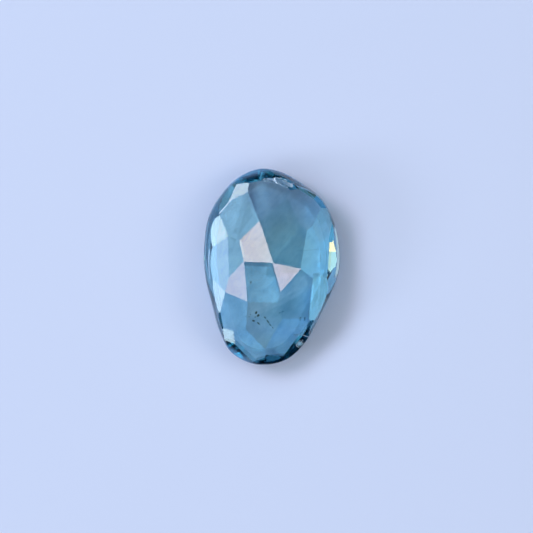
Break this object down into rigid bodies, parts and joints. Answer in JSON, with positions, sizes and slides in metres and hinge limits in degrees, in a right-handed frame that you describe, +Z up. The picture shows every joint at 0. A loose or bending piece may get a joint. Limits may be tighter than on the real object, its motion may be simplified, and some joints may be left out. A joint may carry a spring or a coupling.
{
  "type": "faceted blue topaz gemstone",
  "caption": "Clear blue freeform rose-cut gemstone with a flat base, a shallow bevel under its rim and a low crown of uneven facets.",
  "frame": {"origin": "middle of the stone's bounding rectangle, level with the flat base", "axes": "+Z up out of the base through the crown, +Y along the stone's length towards its broad blunt end, +X across it"},
  "size_m": [0.0084, 0.012, 0.0032],
  "materials": {
    "topaz": "polished, clear, sky blue"
  },
  "bodies": {
    "root": {"gemstone": "topaz"}
  },
  "joints": []
}
